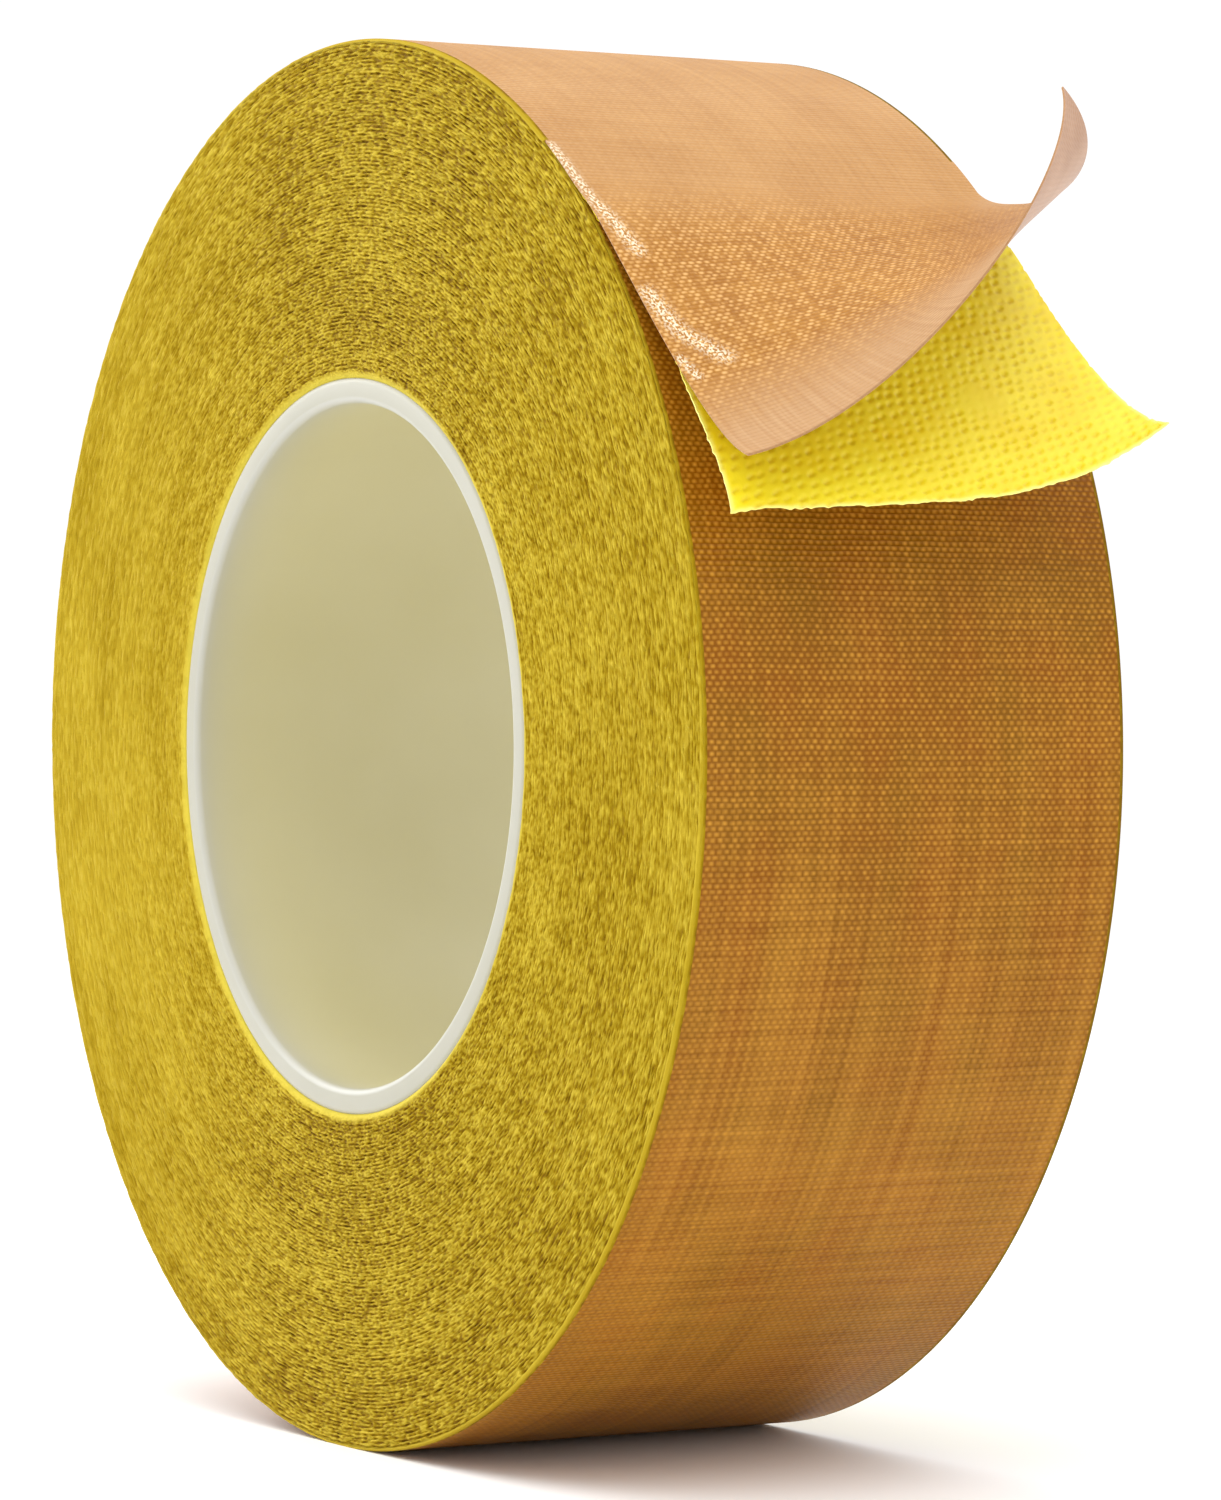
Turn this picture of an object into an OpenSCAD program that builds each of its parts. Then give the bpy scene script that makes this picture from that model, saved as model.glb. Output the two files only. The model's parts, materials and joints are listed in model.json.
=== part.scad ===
// Roll of glass-cloth adhesive tape with a release liner, standing on its rim.
// The roll's axis runs along Y, and the origin is the middle of the core's bore.
// The web has three layers. From the core outwards they are liner, adhesive and cloth.

/* [Core] */
// Diameter of the bore through the core
core_bore_d = 76.2; // [60:0.1:90]
// Thickness of the core's wall
core_wall = 3.05; // [2:0.05:6]
// Length of the core along its axis
core_w = 50.8; // [24:0.1:60]
// Rounding of the core's rim edges
core_round = 0.8; // [0.3:0.1:0.9]

/* [Starter tape] */
// Thickness of the double-sided tape that holds the first turn to the core
starter_t = 0.1; // [0.05:0.01:0.3]
// Arc of the core that the starter tape covers, in degrees
starter_arc = 35; // [10:1:90]

/* [Web] */
// Width of the cloth and its adhesive
tape_w = 50.8; // [24:0.1:60]
// How far the liner stands out past each edge of the cloth
liner_overhang = 0.4; // [0:0.05:1]
// Thickness of the embossed liner
liner_t = 0.2; // [0.1:0.01:0.4]
// Thickness of the adhesive
adhesive_t = 0.05; // [0.03:0.01:0.1]
// Thickness of the cloth
cloth_t = 0.166; // [0.1:0.002:0.3]
// Full turns wound on the core
turns = 88; // [4:1:90]

/* [Rim] */
// Depth of the flat that the roll's own weight presses into its rim
rim_flat_depth = 0.12; // [0.05:0.01:0.14]

/* [Free end] */
// Where the free end leaves the roll, in degrees from +X towards +Z
lift_angle = 50; // [30:1:60]
// Room left between layers that peel apart
peel_gap = 0.3; // [0.25:0.05:0.5]
// Room left between the wound web's end and the free end
root_gap = 0.5; // [0.4:0.1:1]
// Facets along and across each free sheet
sheet_steps = 18; // [8:1:24]

/* [Hidden] */

round_fn = 96;
core_r = core_bore_d / 2 + core_wall;
web_t = liner_t + adhesive_t + cloth_t;
liner_w = tape_w + 2 * liner_overhang;
// A half turn's centre sits this far off the axis, which makes the half turns join
// end to end in a true spiral.
spiral_shift = web_t / 4;
wind_r = core_r + starter_t + spiral_shift;
rim_bottom_z = -(wind_r + turns * web_t + spiral_shift * sin(lift_angle));
// The surface that the free end lifts away from, at the line where it lifts
lift_r = wind_r + turns * web_t - spiral_shift;
free_end_r = lift_r + peel_gap + liner_t;

// Control nets of the two free sheets, as rows of [along, across, lift]. Along and lift are
// in mm from the line where the sheet lifts. Across is a share of half the sheet's width.
liner_net = [
    [[0, -1, 0], [0, -1/3, 0], [0, 1/3, 0], [0, 1, 0]],
    [[20, -0.98, -0.6], [17, -1/3, -0.4], [15, 1/3, 0], [11, 0.95, 0]],
    [[42, -0.93, -4.2], [33.5, -1/3, -3.5], [30, 1/3, -3.5], [35.5, 0.97, -3.9]],
    [[48, -0.97, -7], [49, -0.2, -3.5], [50.5, 0.4, -5.9], [43.7, 1, 2.4]]];
cloth_net = [
    [[0, -1, 0], [0, -1/3, 0], [0, 1/3, 0], [0, 1, 0]],
    [[12.5, -1, 0], [14, -0.25, 0.4], [12.5, 0.3, 0.5], [10.5, 1, 1.2]],
    [[39.5, -0.99, -4.8], [27, -0.48, 4], [33, 0.6, 1.7], [25, 0.97, 19.8]],
    [[47, -0.98, -1.1], [45, -0.28, 2.7], [36.5, 0.36, 27], [21.2, 0.53, 28]]];

// Cubic weights of the four control points, and their slopes
function weights(t) = [pow(1 - t, 3), 3 * t * pow(1 - t, 2), 3 * t * t * (1 - t), pow(t, 3)];
function slopes(t) = [-3 * pow(1 - t, 2), 3 * (1 - t) * (1 - 3 * t), 3 * t * (2 - 3 * t), 3 * t * t];
function blend(net, wu, wv) =
    let (rows = [for (row = net) wv * row])
    wu * rows;
function in_mm(p, w) = [p[0], p[1] * w / 2, p[2]];
function on_sheet(net, w, u, v) = in_mm(blend(net, weights(u), weights(v)), w);
function across_sheet(net, w, u, v) =
    let (n = cross(in_mm(blend(net, slopes(u), weights(v)), w),
                   in_mm(blend(net, weights(u), slopes(v)), w)))
    n / norm(n);

// A free sheet between two heights over its net, as a closed solid
module sheet(net, w, low, high) {
    n = sheet_steps;
    start = root_gap / norm(net[3][0] - net[0][0]);
    rings = [for (h = [low, high], i = [0:n], j = [0:n])
        let (u = start + (1 - start) * i / n, v = j / n)
        on_sheet(net, w, u, v) + h * across_sheet(net, w, u, v)];
    top = (n + 1) * (n + 1);
    function at(i, j) = i * (n + 1) + j;
    function wall(a, b) = [[a, b, b + top], [a, b + top, a + top]];
    faces = [
        for (i = [0:n - 1], j = [0:n - 1]) each [
            [at(i, j), at(i + 1, j), at(i + 1, j + 1)],
            [at(i, j), at(i + 1, j + 1), at(i, j + 1)],
            [top + at(i, j), top + at(i + 1, j + 1), top + at(i + 1, j)],
            [top + at(i, j), top + at(i, j + 1), top + at(i + 1, j + 1)]],
        for (i = [0:n - 1]) each concat(
            wall(at(i + 1, 0), at(i, 0)), wall(at(i, n), at(i + 1, n)),
            wall(at(0, i), at(0, i + 1)), wall(at(n, i + 1), at(n, i)))];
    polyhedron(rings, faces, convexity = 4);
}

// Stands a free sheet on the line where the tape leaves the roll
module at_lift_line() {
    rotate([0, 90 - lift_angle, 0]) translate([0, 0, free_end_r]) children();
}

// Turns a shape drawn flat so that its axis becomes the roll's axis
module on_axis() {
    rotate([90, 0, 0]) children();
}

// One layer of the web, wound from the core to the lift line in half turns
module wound_layer(inside, t, w) {
    on_axis() rotate([0, 0, lift_angle]) mirror([0, 1, 0]) union() {
        for (k = [0:2 * turns - 1]) {
            side = k % 2 == 0 ? -1 : 1;
            translate([side * spiral_shift, 0, 0])
                rotate([0, 0, k * 180])
                    rotate_extrude(angle = 180, $fn = round_fn)
                        translate([wind_r + k * web_t / 2 + inside, -w / 2])
                            square([t, w]);
        }
    }
}

module core_profile() {
    in_r = core_bore_d / 2;
    translate([in_r + core_round, -core_w / 2]) square([core_wall - 2 * core_round, core_w]);
    translate([in_r, -core_w / 2 + core_round]) square([core_wall, core_w - 2 * core_round]);
    for (x = [in_r + core_round, core_r - core_round], side = [-1, 1])
        translate([x, side * (core_w / 2 - core_round)]) circle(core_round, $fn = 32);
}

module core() {
    color([0.92, 0.91, 0.84]) on_axis() rotate_extrude($fn = round_fn) core_profile();
}

module starter_tape() {
    color([0.85, 0.85, 0.8]) on_axis() rotate([0, 0, lift_angle - starter_arc])
        rotate_extrude(angle = starter_arc, $fn = round_fn)
            translate([core_r, -tape_w / 2]) square([starter_t, tape_w]);
}

module liner_wound() {
    color([0.85, 0.76, 0.2]) wound_layer(0, liner_t, liner_w);
}

module adhesive_wound() {
    color([0.85, 0.7, 0.45]) wound_layer(liner_t, adhesive_t, tape_w);
}

module cloth_wound() {
    color([0.68, 0.42, 0.14]) difference() {
        wound_layer(liner_t + adhesive_t, cloth_t, tape_w);
        translate([-tape_w, -tape_w, rim_bottom_z + rim_flat_depth - tape_w])
            cube([2 * tape_w, 2 * tape_w, tape_w]);
    }
}

module liner_tail() {
    color([0.93, 0.87, 0.2]) at_lift_line() sheet(liner_net, liner_w, -liner_t, 0);
}

module adhesive_tail() {
    color([0.85, 0.7, 0.45]) at_lift_line()
        sheet(cloth_net, tape_w, peel_gap, peel_gap + adhesive_t);
}

module cloth_tail() {
    color([0.78, 0.53, 0.27]) at_lift_line()
        sheet(cloth_net, tape_w, peel_gap + adhesive_t, peel_gap + adhesive_t + cloth_t);
}

core();
starter_tape();
liner_wound();
adhesive_wound();
cloth_wound();
liner_tail();
adhesive_tail();
cloth_tail();
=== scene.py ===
import json
import math

import bpy
import numpy as np
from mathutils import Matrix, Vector


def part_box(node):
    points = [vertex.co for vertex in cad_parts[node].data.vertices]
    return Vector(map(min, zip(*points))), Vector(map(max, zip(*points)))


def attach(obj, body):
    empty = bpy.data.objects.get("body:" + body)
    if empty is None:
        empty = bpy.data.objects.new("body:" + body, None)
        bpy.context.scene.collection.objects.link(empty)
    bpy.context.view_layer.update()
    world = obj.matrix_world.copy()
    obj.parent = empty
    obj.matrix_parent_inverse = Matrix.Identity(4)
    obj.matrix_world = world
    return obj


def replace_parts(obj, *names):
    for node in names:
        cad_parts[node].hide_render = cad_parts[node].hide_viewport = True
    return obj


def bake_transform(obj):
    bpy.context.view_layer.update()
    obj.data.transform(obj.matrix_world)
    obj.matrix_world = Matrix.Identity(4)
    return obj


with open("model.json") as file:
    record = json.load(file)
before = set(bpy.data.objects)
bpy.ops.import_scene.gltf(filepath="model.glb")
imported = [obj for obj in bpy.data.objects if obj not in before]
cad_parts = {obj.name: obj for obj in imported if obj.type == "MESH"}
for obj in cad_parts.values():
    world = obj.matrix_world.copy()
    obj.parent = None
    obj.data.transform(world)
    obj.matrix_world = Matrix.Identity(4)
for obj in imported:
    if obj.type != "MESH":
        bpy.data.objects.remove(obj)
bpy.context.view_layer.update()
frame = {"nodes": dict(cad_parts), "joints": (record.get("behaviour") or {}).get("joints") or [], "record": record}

MM = 0.001

# ---------------------------------------------------------------- sizes
# These first values and the two nets below are part.scad's own.
LINER_T = 0.2 * MM
ADHESIVE_T = 0.05 * MM
CLOTH_T = 0.166 * MM
WEB_T = LINER_T + ADHESIVE_T + CLOTH_T
STARTER_T = 0.1 * MM
TURNS = 88
PEEL_GAP = 0.3 * MM
CORE_ROUND = 0.8 * MM

mounts = {m["name"]: m for m in frame["record"]["mounts"]}
joints = {j["name"]: j for j in frame["joints"]}
BORE_R = mounts["core_bore"]["dims"]["r_mm"] * MM
CORE_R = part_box("core")[1].x
CORE_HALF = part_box("core")[1].y
TAPE_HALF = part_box("cloth_wound")[1].y
LINER_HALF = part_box("liner_wound")[1].y
FLOOR_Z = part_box("cloth_wound")[0].z
lift_x, _, lift_z = joints["free_end_lift"]["pos_m"]
LIFT_ANGLE = math.atan2(lift_z, lift_x)

# The wound spiral is made of half turns about two centres, SHIFT to either side of the axis.
SHIFT = WEB_T / 4
WIND_R = CORE_R + STARTER_T + SHIFT
LIFT_R = WIND_R + TURNS * WEB_T - SHIFT
FREE_END_R = LIFT_R + PEEL_GAP + LINER_T
# The free end's own sheets begin this far back on the roll, so that they grow out of the web.
LEAD = 6 * MM

# Control nets of the free sheets: along and lift in mm from the lift line, across as a share of
# half the sheet's width.
LINER_NET = [
    [[0, -1, 0], [0, -1/3, 0], [0, 1/3, 0], [0, 1, 0]],
    [[20, -0.98, -0.6], [17, -1/3, -0.4], [15, 1/3, 0], [11, 0.95, 0]],
    [[42, -0.93, -4.2], [33.5, -1/3, -3.5], [30, 1/3, -3.5], [35.5, 0.97, -3.9]],
    [[48, -0.97, -7], [49, -0.2, -3.5], [50.5, 0.4, -5.9], [43.7, 1, 2.4]]]
CLOTH_NET = [
    [[0, -1, 0], [0, -1/3, 0], [0, 1/3, 0], [0, 1, 0]],
    [[12.5, -1, 0], [14, -0.25, 0.4], [12.5, 0.3, 0.5], [10.5, 1, 1.2]],
    [[39.5, -0.99, -4.8], [27, -0.48, 4], [33, 0.6, 1.7], [25, 0.97, 19.8]],
    [[47, -0.98, -1.1], [45, -0.28, 2.7], [36.5, 0.36, 27], [21.2, 0.53, 28]]]


# ---------------------------------------------------------------- shapes
def wound(turn, depth):
    """x and z in the wound web, this many turns from the core and this far out from its inside."""
    half = np.clip(np.floor(2 * turn), 0, 2 * TURNS - 1)
    side = np.where(half % 2 == 0, -SHIFT, SHIFT)
    radius = WIND_R + half * WEB_T / 2 + depth
    angle = LIFT_ANGLE - 2 * np.pi * turn
    x = side * math.cos(LIFT_ANGLE) + radius * np.cos(angle)
    z = side * math.sin(LIFT_ANGLE) + radius * np.sin(angle)
    return x, z


def web_length(turn):
    """Length of web from the lift line back to this many turns from the core, below 0."""
    def whole(t):
        return 2 * np.pi * (WIND_R * t + WEB_T * t * t / 2)
    return whole(turn) - whole(TURNS)


def ripple(along, pitch, rng):
    """Smooth uneven waves from -1 to 1 along a length, with knots a pitch apart."""
    at = (along - along.min()) / pitch
    knots = rng.uniform(-1, 1, int(at.max()) + 3)
    i = np.floor(at).astype(int)
    f = at - i
    f = f * f * (3 - 2 * f)
    return knots[i] * (1 - f) + knots[i + 1] * f


def smooth(t):
    """Eases from 0 to 1 as t does."""
    t = np.clip(t, 0, 1)
    return t * t * (3 - 2 * t)


def grid_quads(rows, columns, first=0):
    """Quads over a grid of rows x columns vertices."""
    i = np.arange(rows - 1)[:, None] * columns + np.arange(columns - 1)[None, :] + first
    return np.stack([i, i + 1, i + columns + 1, i + columns], -1).reshape(-1, 4)


def add_object(name, data):
    made = bpy.data.objects.new(name, data)
    bpy.context.scene.collection.objects.link(made)
    return made


def make_mesh(name, points, faces, crease_deg=40, **attributes):
    """A mesh object from points and a list of faces, smooth apart from its creases."""
    mesh = bpy.data.meshes.new(name)
    mesh.from_pydata(np.asarray(points, float).tolist(), [], faces)
    mesh.polygons.foreach_set("use_smooth", np.ones(len(mesh.polygons), bool))
    mesh.set_sharp_from_angle(angle=math.radians(crease_deg))
    for key, values in attributes.items():
        values = np.asarray(values, np.float32)
        kind, field = ("FLOAT", "value") if values.ndim == 1 else ("FLOAT_VECTOR", "vector")
        mesh.attributes.new(key, kind, "POINT").data.foreach_set(field, values.ravel())
    mesh.validate()
    mesh.update()
    return add_object(name, mesh)


# ---------------------------------------------------------------- materials
def rgb(r, g, b):
    """A colour given as 0 to 255, made linear for the shader."""
    def line(c):
        c = c / 255
        return c / 12.92 if c <= 0.04045 else ((c + 0.055) / 1.055) ** 2.4
    return (line(r), line(g), line(b), 1.0)


NOISE_SPAN = (0.3, 0.7)   # most of a noise lies in here


class Shader:
    """One material's nodes, added by short calls. A value is a number, a colour or a socket."""

    def __init__(self, name, **settings):
        self.material = bpy.data.materials.new(name)
        self.material.use_nodes = True
        self.tree = self.material.node_tree
        self.principled = self.tree.nodes["Principled BSDF"]
        for key, value in settings.items():
            self.put(value, self.principled.inputs[key.replace("_", " ")])

    def put(self, value, socket):
        if isinstance(value, bpy.types.NodeSocket):
            self.tree.links.new(value, socket)
        else:
            socket.default_value = value

    def node(self, kind, *values, **settings):
        made = self.tree.nodes.new("ShaderNode" + kind)
        for key, value in settings.items():
            setattr(made, key, value)
        for socket, value in zip(made.inputs, values):
            if value is not None:
                self.put(value, socket)
        return made

    def math(self, operation, *values, clamp=False):
        return self.node("Math", *values, operation=operation, use_clamp=clamp).outputs[0]

    def scaled(self, vector, x, y, z=0.0):
        """A vector with its parts multiplied."""
        return self.node("VectorMath", vector, (x, y, z), operation="MULTIPLY").outputs[0]

    def parts(self, vector):
        """A vector's x, y and z."""
        return self.node("SeparateXYZ", vector).outputs

    def noise(self, vector, detail):
        made = self.node("TexNoise")
        made.inputs["Scale"].default_value = 1.0
        made.inputs["Detail"].default_value = detail
        self.put(vector, made.inputs["Vector"])
        return made.outputs["Fac"]

    def spread(self, value, low, high, to_low=0.0, to_high=1.0):
        """Maps low..high of a value to to_low..to_high, clamped."""
        return self.node("MapRange", value, low, high, to_low, to_high).outputs[0]

    def sway(self, noise, reach):
        """A noise as a value from -reach to reach."""
        return self.spread(noise, *NOISE_SPAN, -reach, reach)

    def mix(self, share, a, b):
        made = self.node("Mix", data_type="RGBA")
        self.put(share, made.inputs["Factor"])
        self.put(a, made.inputs[6])
        self.put(b, made.inputs[7])
        return made.outputs[2]

    def drift(self, noise, a, b):
        """A colour that goes from a to b with a noise."""
        return self.mix(self.spread(noise, *NOISE_SPAN), a, b)

    def data(self, name, output="Fac"):
        """A value stored on the mesh's vertices, 0 where the mesh has none."""
        return self.node("Attribute", attribute_name=name).outputs[output]

    def bump(self, height, distance, strength=1.0):
        made = self.node("Bump")
        made.inputs["Strength"].default_value = strength
        made.inputs["Distance"].default_value = distance
        self.put(height, made.inputs["Height"])
        self.put(made.outputs[0], self.principled.inputs["Normal"])

    def colour(self, value):
        self.put(value, self.principled.inputs["Base Color"])


WARP_GAP = 0.434 * MM     # between the yarns that run along the web
WEFT_GAP = 0.58 * MM      # between the yarns that run across it


def weave(s, web):
    """Plain weave over web coordinates: (height 0 to 1, dots where a warp yarn comes on top)."""
    wander = s.noise(s.scaled(web, 260, 260), 1.0)
    wander = s.math("MULTIPLY_ADD", wander, 0.5, -0.25)
    place = s.parts(s.scaled(web, 1 / WEFT_GAP, 1 / WARP_GAP))
    u = s.math("ADD", place[0], wander)
    v = s.math("ADD", place[1], wander)
    # the yarn on top swaps from one crossing to the next
    over_u = s.math("ABSOLUTE", s.math("SINE", s.math("MULTIPLY", u, math.pi)))
    swing = s.math("SINE", s.math("MULTIPLY", s.math("ADD", v, s.math("FLOOR", u)), math.pi))
    over_v = s.math("MULTIPLY_ADD", swing, -0.5, 0.5)
    dots = s.math("MULTIPLY", s.math("POWER", over_u, 0.9), s.math("POWER", over_v, 0.8))
    weft = s.math("MULTIPLY", over_u, s.math("SUBTRACT", 1.0, over_v))
    return s.math("MULTIPLY_ADD", weft, 0.45, dots), dots


def cloth_material():
    """Woven glass cloth under a thin coat. The colours drift from the brown of the roll's side to
    the paler free end, by web coordinates: x along the web, y across it, z to its cut end."""
    s = Shader("coated_cloth", Roughness=0.42, IOR=1.24)
    web = s.data("web", "Vector")
    height, dots = weave(s, web)
    along, across, to_end = s.parts(web)
    free = s.spread(along, -95 * MM, -20 * MM)
    # painted shadow: 0 on the outer turn where it lies under the free end, rising to 1 further round
    out_of_painted_shadow = s.spread(along, -425 * MM, -375 * MM)
    near_end = s.spread(to_end, 14 * MM, 4 * MM)
    # dots differ in brightness from place to place, and each streak follows one yarn a long way
    sparkle = s.noise(s.scaled(web, 900, 1100), 1.0)
    warp_streaks = s.noise(s.scaled(web, 14, 1500), 2.0)
    weft_streaks = s.noise(s.scaled(web, 1500, 40), 2.0)
    patches = s.noise(s.scaled(web, 60, 100), 3.0)
    reds = s.noise(s.scaled(web, 90, 120), 2.0)
    strength = s.math("SUBTRACT", 1.0, s.math("MULTIPLY", out_of_painted_shadow, 0.6))
    # on the free end the dots are partly the weave and partly painted glints, weak at the lift line and strongest
    # past the bend
    on_end = s.spread(along, 2 * MM, 12 * MM, 0.12, 1.15)
    strength = s.mix(s.spread(along, -120 * MM, 4 * MM), strength, on_end)
    strength = s.math("MULTIPLY", strength, s.spread(near_end, 0.0, 1.0, 1.0, 0.15))
    # the painted glints of the dots fade on the far side of the free end
    far_side = s.math("MULTIPLY", s.spread(across, 2 * MM, 14 * MM), free)
    strength = s.math("MULTIPLY", strength, s.spread(far_side, 0.0, 1.0, 1.0, 0.35))
    glitter = s.mix(free, s.spread(sparkle, 0.35, 0.65, 0.6, 1.15),
                    s.spread(sparkle, 0.38, 0.62, 0.15, 1.35))
    dots = s.math("MULTIPLY", dots, glitter)
    dots = s.math("MULTIPLY", dots, strength)
    streaks = s.math("ADD", s.sway(warp_streaks, 0.17), s.sway(weft_streaks, 0.13))
    tone = s.math("MULTIPLY", streaks, s.spread(out_of_painted_shadow, 0.0, 1.0, 0.7, 1.0))
    tone = s.math("MULTIPLY", tone, s.spread(free, 0.0, 1.0, 1.0, 0.45))
    tone = s.math("ADD", tone, s.sway(patches, 0.1))
    # painted light: the rim is painted lighter away from the shadow under the free end
    tone = s.math("ADD", tone, s.spread(out_of_painted_shadow, 0.0, 1.0, -0.05, 0.26))
    # painted reflection: the free end near the lift line, at the top of the roll, is painted paler
    painted_top_reflection = s.math("MULTIPLY", free, s.spread(along, 0.0, 14 * MM, 1.0, 0.0))
    tone = s.math("MULTIPLY_ADD", painted_top_reflection, 0.42, tone)
    tone = s.math("MULTIPLY_ADD", dots, s.spread(free, 0.0, 1.0, 0.85, 0.5), tone, clamp=True)
    ground = s.mix(s.spread(reds, 0.35, 0.65), rgb(128, 81, 0), rgb(134, 77, 0))
    on_roll = s.mix(tone, ground, rgb(194, 136, 44))
    # the painted reflection turns the free end's pale colour greyer near the top
    pale = s.mix(painted_top_reflection, rgb(207, 150, 62), rgb(200, 154, 99))
    on_tail = s.mix(tone, rgb(140, 82, 0), pale)
    # painted highlight: the coat's glints on the yarn tops
    on_tail = s.mix(s.math("MULTIPLY", dots, 0.32, clamp=True), on_tail, rgb(230, 188, 136))
    colour = s.mix(free, on_roll, on_tail)
    # painted sheen: a paler pinkish band with fine lines along the curled cut end
    lines = s.noise(s.scaled(web, 90, 2300), 1.0)
    band = s.drift(lines, rgb(182, 140, 98), rgb(195, 156, 114))
    colour = s.mix(s.math("MULTIPLY", near_end, 0.85), colour, band)
    # painted highlight: the white sparkle along the front edge, painted where the photo shows it,
    # and the dark line of the cut end
    glint_speckle = s.noise(s.scaled(web, 2600, 3400), 1.0)
    glint_speckle = s.math("MULTIPLY", s.data("painted_glint"), s.spread(glint_speckle, 0.44, 0.6, 0.0, 0.9))
    colour = s.mix(glint_speckle, colour, rgb(250, 238, 210))
    s.colour(s.mix(s.spread(to_end, 0.25 * MM, 0.05 * MM, 0.0, 0.3), colour, rgb(112, 66, 24)))
    s.bump(s.math("MULTIPLY_ADD", sparkle, 0.2, height), 0.07 * MM)
    return s.material


def edge_material():
    """Ends of the wound turns: lemon liner standing proud, ochre down in the grooves."""
    s = Shader("liner_edges", Roughness=0.8, IOR=1.2)
    place = s.node("TexCoord").outputs["Object"]
    clouds = s.noise(s.scaled(place, 55, 55, 55), 3.0)
    # short dashes that follow the turns: noise over direction from the axis and over radius
    flat = s.scaled(place, 1, 0, 1)
    radius = s.node("VectorMath", flat, operation="LENGTH").outputs["Value"]
    facing = s.node("VectorMath", flat, operation="NORMALIZE").outputs[0]
    upright = s.math("ABSOLUTE", s.parts(facing)[2])
    facing = s.parts(s.scaled(facing, 78, 0, 78))
    dash_at = s.node("CombineXYZ", facing[0], s.math("MULTIPLY", radius, 3600.0),
                     facing[2]).outputs[0]
    dashes = s.noise(dash_at, 0.6)
    # painted shade: the dashes' painted contrast fades towards -x and is stronger at the top and bottom of the
    # face than at its sides, as the relief's shading is under the light from above; tone also drifts in broad
    # rings
    rough = s.spread(s.parts(place)[0], -66 * MM, -2 * MM, 0.15, 1.0)
    rough = s.math("MULTIPLY", rough, s.spread(upright, 0.2, 0.9, 0.75, 1.3))
    rough = s.math("MULTIPLY", rough, s.math("SUBTRACT", 1.0, s.data("plain")))
    rings_at = s.node("CombineXYZ", s.math("MULTIPLY", facing[0], 0.02),
                      s.math("MULTIPLY", radius, 230.0),
                      s.math("MULTIPLY", facing[2], 0.02)).outputs[0]
    rings = s.noise(rings_at, 1.0)
    tone = s.math("ADD", s.data("edge"), s.sway(clouds, 0.08))
    tone = s.math("ADD", tone, s.sway(rings, 0.06))
    tone = s.math("MULTIPLY_ADD", s.spread(dashes, *NOISE_SPAN, -0.32, 0.24), rough, tone)
    tone = s.math("MULTIPLY_ADD", s.data("band"), 0.07, tone)
    # low tones are the grooves: the cloth edges' own ochre, darkened further by painted shade
    deep = s.mix(s.spread(tone, 0.05, 0.45), rgb(122, 90, 4), rgb(160, 131, 6))
    colour = s.mix(s.spread(tone, 0.4, 0.95), deep, rgb(205, 180, 54))
    s.colour(s.mix(s.data("beside_core"), colour, rgb(228, 212, 84)))
    s.bump(s.math("MULTIPLY", dashes, rough), 0.36 * MM)
    return s.material


def liner_material():
    """Embossed polyethylene film: lemon, waxy, a little see-through, with painted shade in the dimples."""
    s = Shader("liner_film", Roughness=0.42, IOR=1.4, Subsurface_Weight=0.2,
               Subsurface_Radius=(1.0, 0.9, 0.2), Subsurface_Scale=0.4 * MM)
    web = s.data("web", "Vector")
    clouds = s.noise(s.scaled(web, 120, 120), 3.0)
    base = s.drift(clouds, rgb(241, 214, 10), rgb(247, 229, 40))
    # painted shade: the dimples are painted darker
    base = s.mix(s.math("MULTIPLY", s.data("dimple"), 0.26), base, rgb(206, 172, 4))
    # painted highlight: a pale line along the cut edges
    s.colour(s.mix(s.data("rim"), base, rgb(255, 246, 130)))
    s.bump(s.noise(s.scaled(web, 5000, 5000), 2.0), 0.02 * MM, 0.5)
    return s.material


def adhesive_material():
    """Silicone adhesive over the weave: tacky, pinkish tan."""
    s = Shader("adhesive", Roughness=0.34, IOR=1.36)
    web = s.data("web", "Vector")
    height, dots = weave(s, web)
    clouds = s.noise(s.scaled(web, 150, 150), 4.0)
    tan = s.drift(clouds, rgb(170, 124, 88), rgb(190, 146, 112))
    s.colour(s.mix(s.math("MULTIPLY", dots, 0.35), tan, rgb(160, 108, 68)))
    s.bump(s.math("MULTIPLY_ADD", clouds, 0.6, height), 0.02 * MM)
    return s.material


def core_material():
    """Moulded polyethylene, milky and a little see-through, creamier in the bore than outside."""
    s = Shader("core_plastic", Roughness=0.4, IOR=1.45, Subsurface_Weight=0.3,
               Subsurface_Radius=(1.0, 0.95, 0.75), Subsurface_Scale=2 * MM)
    place = s.node("TexCoord").outputs["Object"]
    haze = s.noise(s.scaled(place, 30, 30, 30), 3.0)
    lines = s.noise(s.scaled(place, 15, 900, 15), 2.0)
    bore = s.drift(haze, rgb(194, 186, 142), rgb(201, 194, 155))
    rim = s.drift(haze, rgb(174, 172, 157), rgb(182, 180, 167))
    colour = s.mix(s.data("rim"), bore, rim)
    # painted highlight: a whiter ring on the rounded inner edge at each end
    s.colour(s.mix(s.data("lip"), colour, rgb(184, 183, 173)))
    s.bump(s.math("MULTIPLY_ADD", lines, 0.5, haze), 0.03 * MM, 0.4)
    return s.material


def starter_material():
    """Clear double-sided film, slightly milky, with fine wrinkles."""
    s = Shader("starter_film", Roughness=0.35, IOR=1.5)
    place = s.node("TexCoord").outputs["Object"]
    wrinkles = s.noise(s.scaled(place, 700, 120, 700), 3.0)
    s.colour(s.mix(wrinkles, rgb(196, 194, 178), rgb(222, 220, 206)))
    s.bump(wrinkles, 0.03 * MM)
    return s.material


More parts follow.
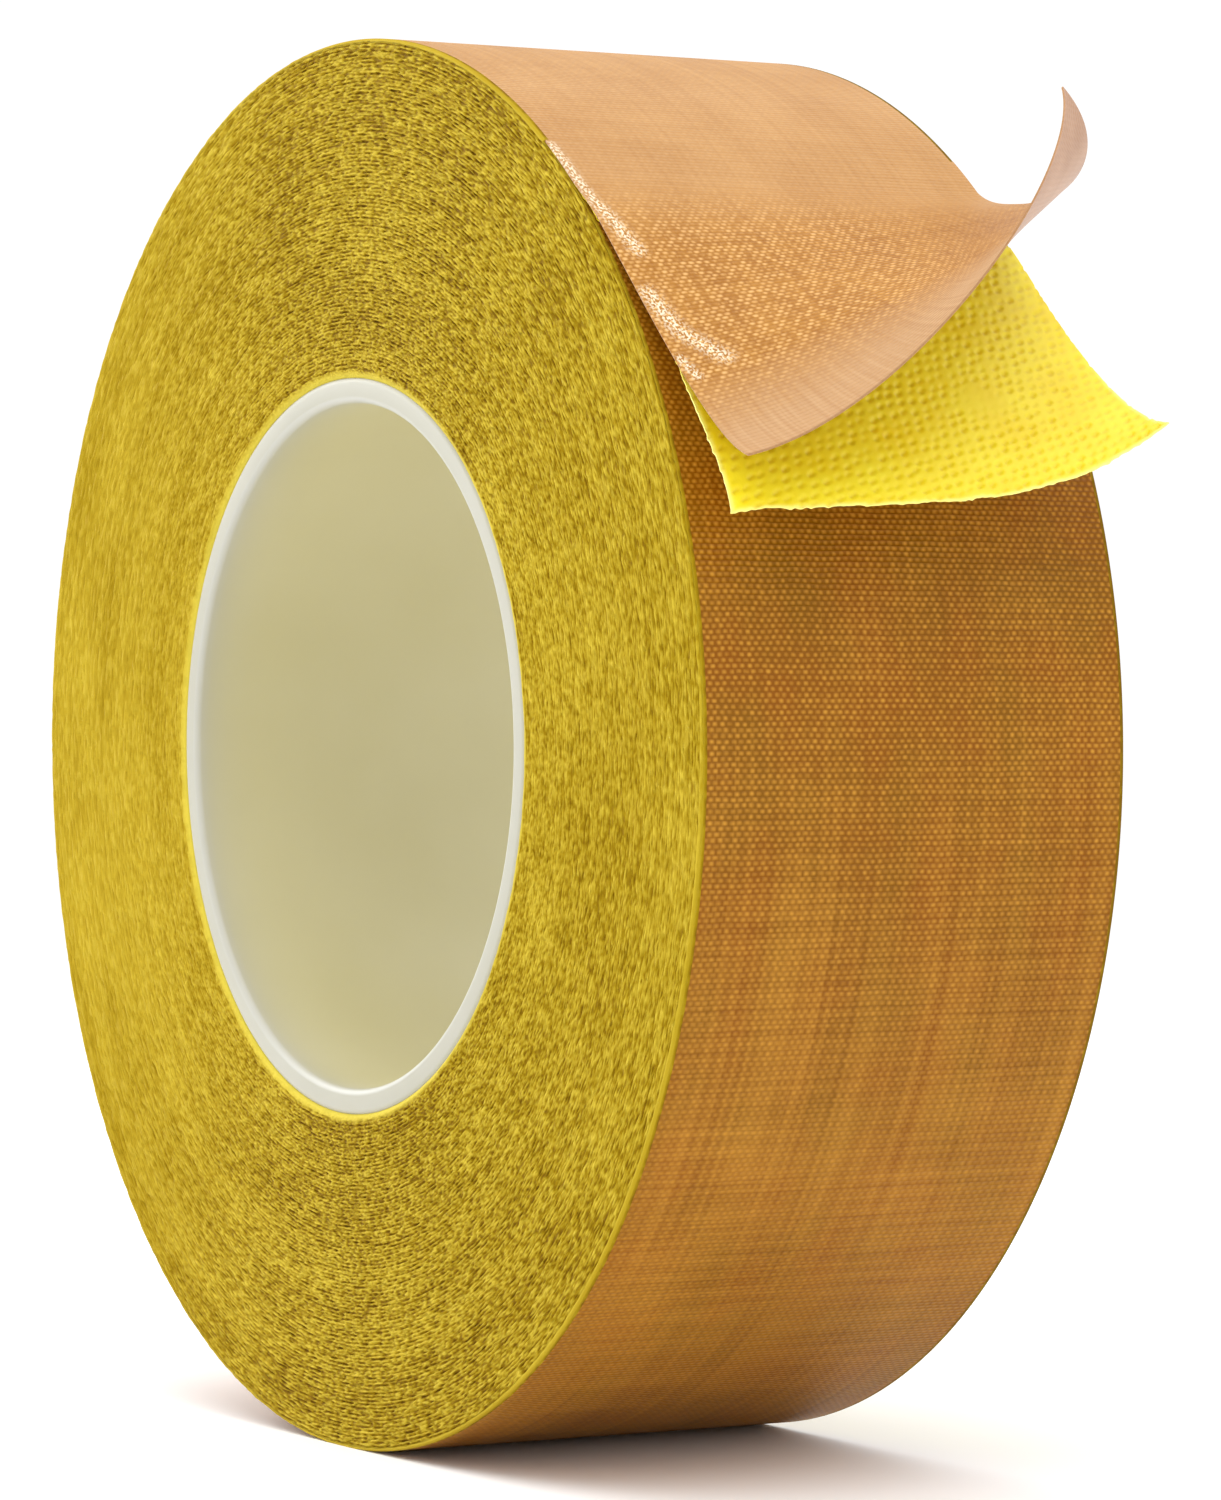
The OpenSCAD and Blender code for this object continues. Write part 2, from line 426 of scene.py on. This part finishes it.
# ---------------------------------------------------------------- core
def make_core():
    """Lathed tube with rounded rims and a faint waviness in its bore."""
    around, corner = 320, 6   # steps around the tube and around each rounded edge
    waviness = 0.02 * MM
    profile = []
    for cx, cy, start in ((CORE_R - CORE_ROUND, -CORE_HALF + CORE_ROUND, -90),
                          (CORE_R - CORE_ROUND, CORE_HALF - CORE_ROUND, 0),
                          (BORE_R + CORE_ROUND, CORE_HALF - CORE_ROUND, 90),
                          (BORE_R + CORE_ROUND, -CORE_HALF + CORE_ROUND, 180)):
        for k in range(corner + 1):
            a = math.radians(start + 90 * k / corner)
            profile.append((cx + CORE_ROUND * math.cos(a), cy + CORE_ROUND * math.sin(a)))
    # rows in the bore, where the paler rim fades into it
    at = np.array([1.6, 2.6, 4.0, 6.0, 8.5]) * MM
    cut = 3 * (corner + 1)
    profile[cut:cut] = [(BORE_R, y) for y in np.r_[CORE_HALF - at, (at - CORE_HALF)[::-1]]]
    profile = np.array(profile)
    angle = np.linspace(0, 2 * np.pi, around, endpoint=False)
    wave = waviness * np.sin(5 * angle + 1.0)
    outside = profile[None, :, 0] > BORE_R + CORE_ROUND
    radius = profile[None, :, 0] + np.where(outside, -waviness, wave[:, None])
    points = np.stack([radius * np.cos(angle)[:, None],
                       np.broadcast_to(profile[None, :, 1], radius.shape),
                       radius * np.sin(angle)[:, None]], -1).reshape(-1, 3)
    n = len(profile)
    i, j = np.meshgrid(np.arange(around), np.arange(n), indexing="ij")
    i2, j2 = (i + 1) % around, (j + 1) % n
    faces = np.stack([i * n + j, i * n + j2, i2 * n + j2, i2 * n + j], -1).reshape(-1, 4)
    depth = CORE_HALF - np.abs(profile[:, 1])
    rim = np.exp(-depth / (2.6 * MM))
    inner = profile[:, 0] < BORE_R + CORE_ROUND
    # painted highlight: the whiter ring on the bore's rounded edge
    lip = np.where(inner, np.exp(-((depth - 0.2 * MM) / (0.5 * MM)) ** 2), 0.0)
    core = make_mesh("core_tube", points, faces.tolist(), rim=np.tile(rim, around),
                     lip=np.tile(lip, around))
    core.data.materials.append(core_material())
    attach(core, "roll")
    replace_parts(core, "core")


# ---------------------------------------------------------------- wound web
EDGE_STEPS = 900          # steps around one turn of the end faces
LEAD_STEPS = round(LEAD / (2 * math.pi * LIFT_R) * EDGE_STEPS)
LAST = TURNS * EDGE_STEPS - LEAD_STEPS
CREST_WAVE = 0.1 * MM     # the liner's edge waves in and out by this much
LEAST_FALL = 0.05 * MM    # a groove is at least this much lower than its crest


def make_edges(name, side, seed):
    """One end face of the roll. The liner's edge stands proud in every turn and waves unevenly,
    with a groove between turns. The face closes over a flat back inside the cloth."""
    rng = np.random.default_rng(seed)
    n = EDGE_STEPS
    turn = np.arange(LAST + 1) / n
    along = web_length(turn)
    beat = ripple(along, 1.1 * MM, rng)
    beat2 = ripple(along, 0.7 * MM, rng)
    drift = ripple(along, 40 * MM, rng)
    crest_depth = LINER_T / 2 + 0.05 * MM * ripple(along, 1.0 * MM, rng)
    groove_depth = LINER_T + (ADHESIVE_T + CLOTH_T) / 2 + 0.04 * MM * ripple(along, 0.9 * MM, rng)
    first = smooth(0.9 - turn)
    last = smooth((turn - TURNS + 0.95) / 0.2)
    even = np.maximum(first, last)
    crest_out = LINER_HALF - CREST_WAVE + CREST_WAVE * beat * (1 - even) - CREST_WAVE * first
    if side > 0:
        # at the back, the last turns' liner has been pushed in level with the cloth
        crest_out -= (LINER_HALF - TAPE_HALF) * smooth((turn - TURNS + 4.5) / 1.5)
    fall = np.maximum((0.19 + 0.15 * beat2) * MM * (1 - 0.6 * even), LEAST_FALL)
    groove_out = crest_out - fall
    cx, cz = wound(turn, crest_depth)
    gx, gz = wound(turn, groove_depth)
    crest = np.stack([cx, side * crest_out, cz], -1)
    groove = np.stack([gx, side * groove_out, gz], -1)
    # painted shade: grooves are painted darker the deeper they fall, over the cloth edges' own ochre, and this
    # painted contrast of crests and grooves fades towards -x
    painted_shade_reach = 0.25 + 0.75 * smooth((cx + 66 * MM) / (62 * MM))
    crest_shade = 0.72 + 0.17 * beat * painted_shade_reach
    groove_shade = 0.56 + (0.11 - (fall / MM) * 1.25) * painted_shade_reach
    # the first turn shows as a plain line beside the core, and so does the last one in front
    crest_shade += (0.8 - crest_shade) * even
    groove_shade += (0.62 - groove_shade) * even
    rim_shade = 0.55
    if side > 0:
        # at the back, the outermost turns are as dark as the cloth beside them
        dark = smooth((turn - TURNS + 1.6) / 0.8)
        crest_shade += (0.15 - crest_shade) * dark
        groove_shade += (0.1 - groove_shade) * dark
        rim_shade = 0.1
    # inner rim beside the core, and outer rim along the cloth's outside
    inner_r = CORE_R - 0.25 * MM
    inner_a = LIFT_ANGLE - 2 * np.pi * turn[:n]
    inner = np.stack([inner_r * np.cos(inner_a), np.full(n, side * (CORE_HALF - 0.2 * MM)),
                      inner_r * np.sin(inner_a)], -1)
    ox, oz = wound(turn[LAST - n + 1:], WEB_T)
    oz = np.maximum(oz, FLOOR_Z)
    outer_out = TAPE_HALF + (0.02 if side < 0 else -0.05) * MM
    outer = np.stack([ox, np.full(n, side * outer_out), oz], -1)
    crest_id = np.arange(LAST + 1)
    groove_id = crest_id + LAST + 1
    inner_id = 2 * (LAST + 1) + np.arange(n)
    outer_id = inner_id[-1] + 1 + np.arange(n)
    inner_path = np.r_[inner_id, groove_id[0]]
    outer_path = np.r_[crest_id[LAST], outer_id]

    def strip(a, b):
        return np.stack([a[:-1], a[1:], b[1:], b[:-1]], -1)

    quads = [strip(inner_path, crest_id[:n + 1]), strip(crest_id, groove_id),
             strip(groove_id[:LAST - n + 1], crest_id[n:]), strip(groove_id[LAST - n:], outer_path)]
    # flat back: both rims go straight in and meet across
    inner_loop = np.r_[inner_id, groove_id[0], crest_id[0]]
    outer_loop = np.r_[crest_id[LAST], outer_id, groove_id[LAST]]
    points = np.concatenate([crest, groove, inner, outer])
    back_in = points[inner_loop]
    back_out = points[outer_loop]
    back_in[:, 1] = back_out[:, 1] = side * (TAPE_HALF - 0.4 * MM)
    back_in_id = len(points) + np.arange(len(inner_loop))
    back_out_id = back_in_id[-1] + 1 + np.arange(len(outer_loop))

    def ring(a, b):
        return np.stack([a, np.roll(a, -1), np.roll(b, -1), b], -1)

    # the inner loop starts at the lift angle and the outer one a lead short of it
    back_out_turned = np.roll(back_out_id, -LEAD_STEPS)
    quads += [ring(back_in_id, inner_loop), ring(outer_loop, back_out_id),
              ring(back_out_turned, back_in_id)]
    quads = np.concatenate(quads)
    if side > 0:
        quads = quads[:, ::-1]
    points = np.concatenate([points, back_in, back_out])
    hidden = len(back_in) + len(back_out)
    edge = np.concatenate([crest_shade, groove_shade, np.full(n, 0.85), np.full(n, rim_shade),
                           np.full(hidden, 0.2)])
    band = np.concatenate([drift, drift, np.zeros(2 * n + hidden)])
    beside = np.concatenate([0.6 * first, 0.3 * first, np.full(n, 0.7), np.zeros(n + hidden)])
    plain = np.concatenate([even, even, np.ones(2 * n), np.zeros(hidden)])
    piece = make_mesh(name, points, quads.tolist(), crease_deg=75, edge=edge, band=band,
                      beside_core=beside, plain=plain)
    piece.data.materials.append(edge_look)
    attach(piece, "roll")
    return piece


FAR_FROM_END = 1.0        # web z on the roll, where the cut end is out of reach
DOWN_THE_WEB = -8 * LINER_HALF   # web x of the hidden ends, where the cloth is plain brown


def make_windings():
    """The wound pack behind the end faces, with the last turn of cloth as its outside."""
    n = EDGE_STEPS
    edge = np.array([0, 0.05, 0.15, 0.35, 0.7]) * MM
    rows = np.r_[-TAPE_HALF + edge, np.linspace(-TAPE_HALF + 1.5 * MM, TAPE_HALF - 1.5 * MM, 20),
                 (TAPE_HALF - edge)[::-1]]
    # the cut edge of the cloth drops a little
    drop = 0.06 * MM * np.exp(-(TAPE_HALF - np.abs(rows)) / (0.12 * MM))
    turn = (LAST - n + np.arange(n + 1)) / n
    x, z = wound(turn[:, None], WEB_T - drop[None, :])
    z = np.maximum(z, FLOOR_Z)
    y = np.broadcast_to(rows, x.shape)
    outer = np.stack([x, y, z], -1).reshape(-1, 3)
    web = np.stack([np.broadcast_to(web_length(turn)[:, None], x.shape), y,
                    np.full(x.shape, FAR_FROM_END)], -1)
    m = len(rows)
    quads = grid_quads(n + 1, m).tolist()
    # the step where the last turn ends
    quads += [[n * m + k, n * m + k + 1, k + 1, k] for k in range(m - 1)]
    # both ends are closed well inside, behind the edge pieces
    rim_x, rim_z = wound(turn[:n], 0)
    angle = LIFT_ANGLE - 2 * np.pi * turn[:n]
    inner_r = CORE_R + STARTER_T
    core_x, core_z = inner_r * np.cos(angle), inner_r * np.sin(angle)
    deep = np.full(n, TAPE_HALF - 0.5 * MM)
    inside = np.concatenate([np.stack(ring, -1) for ring in (
        (rim_x, -deep, rim_z), (core_x, -deep, core_z),
        (core_x, deep, core_z), (rim_x, deep, rim_z))])
    first = len(outer)
    for k in range(n):
        k2 = (k + 1) % n
        quads.append([k * m, (k + 1) * m, first + k2, first + k])
        quads.append([(k + 1) * m + m - 1, k * m + m - 1, first + 3 * n + k, first + 3 * n + k2])
        for ring in (0, n, 2 * n):
            at = first + ring
            quads.append([at + k, at + k2, at + n + k2, at + n + k])
    quads += [[n * m, 0, first], [m - 1, n * m + m - 1, first + 3 * n]]
    points = np.concatenate([outer, inside])
    hidden = np.tile((DOWN_THE_WEB, 0, FAR_FROM_END), (4 * n, 1))
    piece = make_mesh("cloth_windings", points, quads,
                      web=np.concatenate([web.reshape(-1, 3), hidden]))
    piece.data.materials.append(cloth_look)
    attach(piece, "roll")
    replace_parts(piece, "cloth_wound", "adhesive_wound")


# ---------------------------------------------------------------- free end
ALONG = Vector((math.sin(LIFT_ANGLE), 0, -math.cos(LIFT_ANGLE)))
OUT = Vector((math.cos(LIFT_ANGLE), 0, math.sin(LIFT_ANGLE)))


def cubic(t):
    """Weights of a net's four control points."""
    t = np.asarray(t, float)
    return np.stack([(1 - t)**3, 3*t*(1 - t)**2, 3*t*t*(1 - t), t**3], -1)


def cubic_slope(t):
    """Slopes of those weights."""
    t = np.asarray(t, float)
    return np.stack([-3*(1 - t)**2, 3*(1 - t)*(1 - 3*t), 3*t*(2 - 3*t), 3*t*t], -1)


def net_points(net, half_width, u, v):
    """Points of a net over the lists u and v, and its normals, in metres in the row frame."""
    p = np.array(net, float) * (MM, half_width, MM)
    at = np.einsum("ai,bj,ijk->abk", cubic(u), cubic(v), p)
    du = np.einsum("ai,bj,ijk->abk", cubic_slope(u), cubic(v), p)
    dv = np.einsum("ai,bj,ijk->abk", cubic(u), cubic_slope(v), p)
    normal = np.cross(du, dv)
    normal /= np.linalg.norm(normal, axis=-1, keepdims=True)
    axes = np.array([ALONG, (0, 1, 0), OUT], float)
    return at @ axes + np.array(OUT) * FREE_END_R, normal @ axes


SETTLE = 9 * MM           # length over which a free sheet rises from its place in the web
SAMPLES = 200             # points along a net, to measure its length


def sheet_points(net, half_width, rows, v, low, high, web_low):
    """Two surfaces of a sheet, low and high off its net, over rows of length from the lift line.
    web_low is how deep in the web its inside lies on the roll. Returns points[2, rows, v, 3]
    and web coordinates[rows, v, 3]."""
    thick = high - low
    sampled = np.linspace(0, 1, SAMPLES)
    full = net_points(net, half_width, sampled, v)[0]
    steps = np.linalg.norm(np.diff(full, axis=0), axis=-1)
    lengths = np.r_[np.zeros((1, len(v))), np.cumsum(steps, 0)]
    share = np.clip(rows, 0, 1)
    on_net, normal = net_points(net, half_width, share, v)
    reach = np.stack([np.interp(share, sampled, lengths[:, k]) for k in range(len(v))], -1)
    back = np.minimum(rows, 0)[:, None] * LEAD
    along = reach + back
    # the sheet's own place in the web is below its place on the net by this much at the lift line
    sink = (FREE_END_R + low) - (LIFT_R + web_low)
    rise = low - sink * (1 - smooth(reach / SETTLE))
    surfaces = []
    across = (2 * v - 1) * half_width
    for extra in (0, thick):
        free = on_net + normal * (rise + extra)[..., None]
        turn = TURNS + back / (2 * np.pi * LIFT_R) + np.zeros_like(along) - 1e-9
        x, z = wound(turn, web_low + extra)
        rolled = np.stack([x, np.broadcast_to(across, x.shape), z], -1)
        surfaces.append(np.where((rows < 0)[:, None, None], rolled, free))
    web = np.stack([along, np.broadcast_to(across, along.shape), lengths[-1] - along], -1)
    return np.array(surfaces), web


def close_sheet(name, surfaces, web, look, extra=None):
    """A closed thin solid between two surfaces."""
    _, a, b, _ = surfaces.shape
    low = grid_quads(a, b)
    top = grid_quads(a, b, a * b)[:, ::-1]
    rim = np.r_[np.arange(b), np.arange(1, a) * b + b - 1, (a - 1) * b + np.arange(b - 2, -1, -1),
                np.arange(a - 2, 0, -1) * b]
    rim2 = np.roll(rim, -1)
    wall = np.stack([rim, rim + a * b, rim2 + a * b, rim2], -1)
    faces = np.concatenate([low, top, wall]).tolist()
    attributes = {"web": np.concatenate([web.reshape(-1, 3)] * 2)}
    for key, values in (extra or {}).items():
        attributes[key] = np.tile(values.ravel(), 2)
    piece = make_mesh(name, surfaces.reshape(-1, 3), faces, **attributes)
    piece.data.materials.append(look)
    return piece


BEND_END = 1.2 * MM       # the cloth's bend off the roll ends here, and its peel bend starts


def share_at(net, half_width, length):
    """Share of the net at which its middle line is this long."""
    u = np.linspace(0, 1, 2 * SAMPLES)
    mid = net_points(net, half_width, u, np.array([0.5]))[0][:, 0]
    lengths = np.r_[0, np.cumsum(np.linalg.norm(np.diff(mid, axis=0), axis=-1))]
    return float(np.interp(length, lengths, u))


# Painted highlight streaks, the white sparkle near the free cloth's front edge: from and to, each in mm
# along the web and in from the edge, and width in mm
PAINTED_GLINT_LINES = [((-5, 0.3), (6, 0.8), 0.6), ((6, 0.8), (13.5, 2.4), 0.8), ((20, 0.9), (26, 2.0), 0.9),
          ((26, 2.0), (31, 5), 0.9), ((30, 0.5), (33, 1.2), 0.5)]


def glint_line_share(web):
    """How strong the painted highlight streaks are at each of the cloth's points, 0 to 1."""
    at = np.stack([web[..., 0], web[..., 1] + TAPE_HALF], -1) / MM
    share = np.zeros(at.shape[:-1])
    for start, end, width in PAINTED_GLINT_LINES:
        start, line = np.array(start, float), np.subtract(end, start)
        t = np.clip(((at - start) @ line) / (line @ line), 0, 1)
        gap = np.linalg.norm(at - start - t[..., None] * line, axis=-1)
        share = np.maximum(share, np.exp(-(gap / width) ** 2))
    return share


def make_cloth_end():
    """The free cloth and its adhesive, each in two pieces: a short root that bends off the roll
    with the liner, and the sheet beyond it, which peels off the liner."""
    v = np.linspace(0, 1, 121)
    cut = share_at(CLOTH_NET, TAPE_HALF, BEND_END)
    past_bend = 0.12          # rows are close together up to this share of the net
    root_rows = np.r_[np.linspace(-1, 0, 13), np.linspace(0, cut, 6)[1:]]
    free_rows = np.r_[np.linspace(cut, past_bend, 12), np.linspace(past_bend, 1, 100)[1:]]
    for kind, low, high, web_low, look, slot in (
            ("adhesive", PEEL_GAP, PEEL_GAP + ADHESIVE_T, LINER_T, adhesive_look, "adhesive"),
            ("cloth", PEEL_GAP + ADHESIVE_T, PEEL_GAP + ADHESIVE_T + CLOTH_T,
             LINER_T + ADHESIVE_T, cloth_look, "coated_cloth")):
        made = []
        for part, rows in (("root", root_rows), ("sheet", free_rows)):
            surfaces, web = sheet_points(CLOTH_NET, TAPE_HALF, rows, v, low, high, web_low)
            # the painted highlight streaks along the front edge go on as a vertex value
            made.append(close_sheet(f"{kind}_{part}", surfaces, web, look, {"painted_glint": glint_line_share(web)}))
        root, sheet = made
        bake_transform(root)
        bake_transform(sheet)
        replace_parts(sheet, f"{kind}_tail")


DIMPLE_GAP = 1.5 * MM     # between dimples, in a triangular pattern
DIMPLE_TURN = math.radians(11.5)
DIMPLE_LONG = 0.5 * MM    # half length and half width of one dimple
DIMPLE_WIDE = 0.27 * MM
DIMPLE_DEEP = 0.16 * MM
DIMPLE_OFF = 0.24 * MM    # how far a dimple may be off its place
FILM_TOP = -0.06 * MM     # the film's upper face, below the net by its embossing
FLAT_SPOT = (34.5 * MM, 9.5 * MM, 3.0 * MM)   # along, across and radius of a pressed spot


def dimples(along, side, rng):
    """Depth share, 0 to 1, of the liner's short embossed troughs."""
    p = along * math.cos(DIMPLE_TURN) + side * math.sin(DIMPLE_TURN)
    q = side * math.cos(DIMPLE_TURN) - along * math.sin(DIMPLE_TURN)
    row_gap = DIMPLE_GAP * math.sqrt(3) / 2
    row = np.round(p / row_gap)
    step = q / DIMPLE_GAP + 0.5 * (row % 2)
    column = np.round(step)
    # each trough is a little off its place, slants a little, and has its own depth
    table = rng.uniform(-1, 1, (3, 97, 89))
    off_a, off_b, deeper = table[:, (row % 97).astype(int), (column % 89).astype(int)]
    a = p - row * row_gap + DIMPLE_OFF * off_a
    b = (step - column) * DIMPLE_GAP + DIMPLE_OFF * off_b
    flattened = np.hypot(along - FLAT_SPOT[0], side - FLAT_SPOT[1]) / FLAT_SPOT[2]
    depth = (1 + 0.5 * deeper) * (1 - 0.85 * np.exp(-flattened ** 4))
    return depth * np.exp(-((a + 0.4 * b) / DIMPLE_WIDE) ** 2 - (b / DIMPLE_LONG) ** 4)


def make_liner_end():
    """The free liner, embossed with staggered dimples, with rough cut edges."""
    across, rows_n = 242, 240
    v = np.linspace(0, 1, across)
    rows = np.r_[np.linspace(-1, 0, 9)[:-1], np.linspace(0, 1, rows_n)]
    rng = np.random.default_rng(5)
    surfaces, web = sheet_points(LINER_NET, LINER_HALF, rows, v, -LINER_T, FILM_TOP, 0.0)
    along, side = web[..., 0], web[..., 1]
    dimple = dimples(along, side, rng) * smooth((along - 2 * MM) / (4 * MM))
    normal = surfaces[1] - surfaces[0]
    normal /= np.linalg.norm(normal, axis=-1, keepdims=True)
    surfaces = surfaces - (dimple * DIMPLE_DEEP - 0.03 * MM)[None, ..., None] * normal[None]
    # ragged cut along the end: the last rows are pulled back a little, unevenly
    place = np.arange(across) * 2 * LINER_HALF / across
    rough = 0.14 * MM
    ragged = rough * np.abs(ripple(place, 0.9 * MM, rng)) + rough * ripple(place, 3 * MM, rng)
    pull = smooth((rows - 0.95) / 0.05)[:, None] * ragged[None, :]
    step = surfaces[:, -1] - surfaces[:, -6]
    step /= np.linalg.norm(step, axis=-1, keepdims=True)
    surfaces = surfaces - step[:, None] * pull[None, ..., None]
    # the near edge waves where it was slit
    slit = 0.07 * MM * ripple(along[:, 0], 1.0 * MM, rng)
    surfaces[..., 1] += (slit[:, None] * np.exp(-np.arange(across) / 3.0)[None, :])[None]
    # near the roll, both edges are tucked in under the cloth's
    for sign, reach in ((-1, 26 * MM), (1, 4 * MM)):
        tuck = 0.55 * MM * (1 - smooth((along - reach) / (10 * MM)))
        tuck *= np.exp(-(LINER_HALF - sign * side) / (2 * MM))
        surfaces[..., 1] -= sign * tuck[None]
    # painted highlight along the cut edges, from 28 mm along the web on
    edge_gap = np.minimum(LINER_HALF - np.abs(side), web[..., 2])
    rim = np.exp(-(edge_gap / (0.3 * MM)) ** 2) * smooth((along - 28 * MM) / (8 * MM))
    piece = close_sheet("liner_sheet", surfaces, web, liner_look, {"dimple": dimple, "rim": rim})
    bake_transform(piece)
    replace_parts(piece, "liner_tail")


# ---------------------------------------------------------------- build
cloth_look = cloth_material()
edge_look = edge_material()
liner_look = liner_material()
adhesive_look = adhesive_material()

make_core()
make_windings()
for edges_name, edges_side, edges_seed in (("liner_edges_front", -1, 11),
                                           ("liner_edges_back", 1, 12)):
    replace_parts(make_edges(edges_name, edges_side, edges_seed), "liner_wound")
make_liner_end()
make_cloth_end()
starter = frame["nodes"]["starter_tape"]
starter.data.materials.clear()
starter.data.materials.append(starter_material())


# ---------------------------------------------------------------- floor, light and camera
def look_at(thing, target):
    thing.rotation_euler = (Vector(target) - thing.location).to_track_quat("-Z", "Y").to_euler()


def make_floor(half=3.0):
    mesh = bpy.data.meshes.new("floor")
    corners = [(x * half, y * half, FLOOR_Z) for x, y in ((-1, -1), (1, -1), (1, 1), (-1, 1))]
    mesh.from_pydata(corners, [], [(0, 1, 2, 3)])
    floor = add_object("floor", mesh)
    look = Shader("floor", Roughness=0.9)
    look.colour(rgb(252, 252, 252))
    mesh.materials.append(look.material)


def make_light(name, place, size, watts):
    """A rectangular lamp aimed at the middle of the roll."""
    lamp = bpy.data.lights.new(name, "AREA")
    lamp.shape = "RECTANGLE"
    lamp.size = lamp.size_y = size
    lamp.energy = watts
    thing = add_object(name, lamp)
    thing.location = place
    look_at(thing, (0, 0, 0))


def make_world(strength):
    """An even white surround."""
    world = bpy.data.worlds.new("studio")
    world.use_nodes = True
    background = world.node_tree.nodes["Background"]
    background.inputs["Color"].default_value = (1, 1, 1, 1)
    background.inputs["Strength"].default_value = strength
    bpy.context.scene.world = world


def make_camera():
    """The photographed view: a long lens from the front right, a little above the axis."""
    azimuth, elevation = math.radians(60.12), math.radians(0.54)
    distance, target = 0.65, Vector((0.015, 0, -0.00042))
    data = bpy.data.cameras.new("camera")
    data.sensor_fit = "VERTICAL"
    data.sensor_height = 36
    data.lens = 140.35
    data.clip_start, data.clip_end = 0.01, 20
    camera = add_object("camera", data)
    back = Vector((math.sin(azimuth) * math.cos(elevation),
                   -math.cos(azimuth) * math.cos(elevation), math.sin(elevation)))
    camera.location = target + back * distance
    look_at(camera, target)
    bpy.context.scene.camera = camera


make_floor()
make_world(1.05)
make_light("overhead", (0.12, -0.12, 0.85), size=1.1, watts=6.5)
make_light("side", (-0.75, -0.3, 0.35), size=0.5, watts=3.0)
make_camera()
bpy.context.scene.view_settings.view_transform = "Standard"

bpy.context.view_layer.update()
